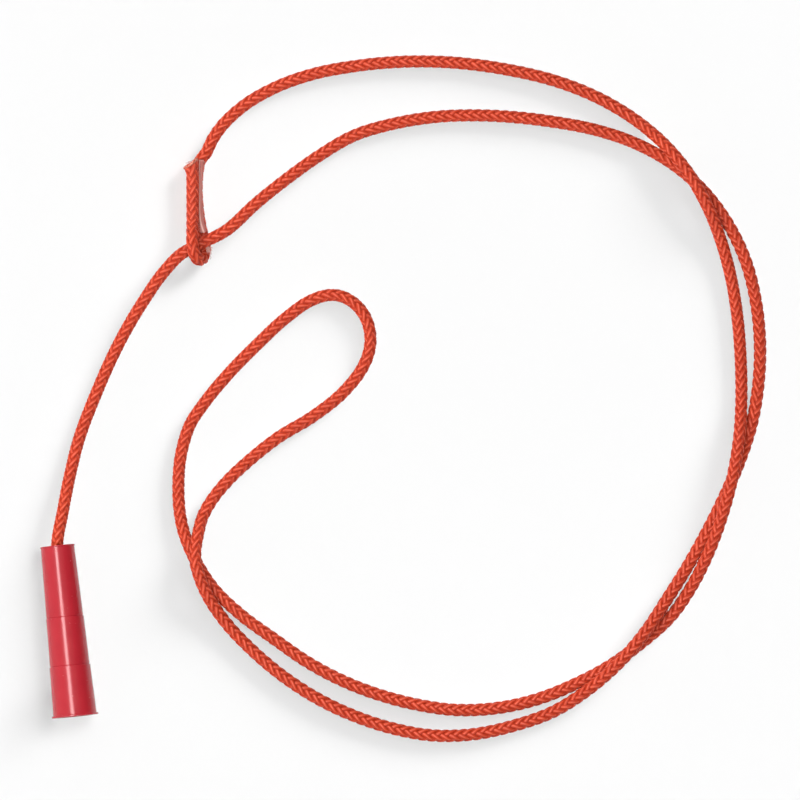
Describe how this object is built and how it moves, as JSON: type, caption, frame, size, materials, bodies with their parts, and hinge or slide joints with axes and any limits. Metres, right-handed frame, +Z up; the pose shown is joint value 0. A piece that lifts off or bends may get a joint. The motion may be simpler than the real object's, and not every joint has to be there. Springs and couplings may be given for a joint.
{
  "type": "slip-noose pull cord",
  "caption": "Braided cord with a sliding eye at one end and a tapered hollow handle at the other, laid in a doubled ring with a teardrop bight.",
  "frame": {"origin": "middle of the laid cord's box, on the table it lies on", "axes": "+Z up from the table; the handle lies at -X -Y with its open end towards -Y"},
  "size_m": [0.29, 0.2744, 0.0186],
  "materials": {
    "cord": "plaited synthetic yarn",
    "core": "straight synthetic yarn, same dye as the sheath",
    "handle": "moulded, satin to gloss",
    "sleeve": "clear shrink film"
  },
  "bodies": {
    "noose": {"running_sheath": "cord", "running_core": "core", "return_sheath": "cord", "return_core": "core", "bight_flex_right_sheath": "cord", "bight_flex_right_core": "core", "bight_flex_left_sheath": "cord", "bight_flex_left_core": "core", "eye_flex_sheath": "cord", "eye_flex_core": "core", "lead_flex_sheath": "cord", "lead_flex_core": "core"},
    "running_eye": {"eye_sheath": "cord", "eye_core": "core", "clear_sleeve": "sleeve"},
    "bight": {"bight_sheath": "cord", "bight_core": "core"},
    "lead": {"lead_sheath": "cord", "lead_core": "core", "handle_bend_sheath": "cord", "handle_bend_core": "core"},
    "tail": {"tail_sheath": "cord", "tail_core": "core"},
    "knot": {"stopper_knot": "cord", "free_end_sheath": "cord", "free_end_core": "core"},
    "handle": {"handle_shell": "handle"}
  },
  "joints": [
    {"name": "noose_slide", "type": "slide", "parent": "noose", "child": "running_eye", "axis": [0.8829, 0.4695, 0], "range_m": [-0.006, 0.012], "deforming": ["eye_flex_sheath", "eye_flex_core"]},
    {"name": "bight_lift", "type": "hinge", "parent": "noose", "child": "bight", "pos_m": [-0.0741, -0.0337, 0.0025], "axis": [0.7943, -0.6075, 0], "range_deg": [0, 80], "deforming": ["bight_flex_right_sheath", "bight_flex_right_core", "bight_flex_left_sheath", "bight_flex_left_core"]},
    {"name": "lead_swing", "type": "hinge", "parent": "noose", "child": "lead", "pos_m": [-0.1239, -0.0006, 0.0025], "axis": [0, 0, 1], "range_deg": [-25, 15], "deforming": ["lead_flex_sheath", "lead_flex_core"]},
    {"name": "handle_swing", "type": "hinge", "parent": "lead", "child": "tail", "pos_m": [-0.1376, -0.052, 0.0062], "axis": [0, 0, 1], "range_deg": [-20, 20], "deforming": ["handle_bend_sheath", "handle_bend_core"]},
    {"name": "handle_turn", "type": "hinge", "parent": "tail", "child": "knot", "pos_m": [-0.1383, -0.0588, 0.00675], "axis": [0.1045, -0.9938, 0.0379], "range_deg": [-180, 180]},
    {"name": "handle_slide", "type": "slide", "parent": "knot", "child": "handle", "axis": [0.1045, -0.9938, 0.0379], "range_m": [0, 0.027]}
  ]
}
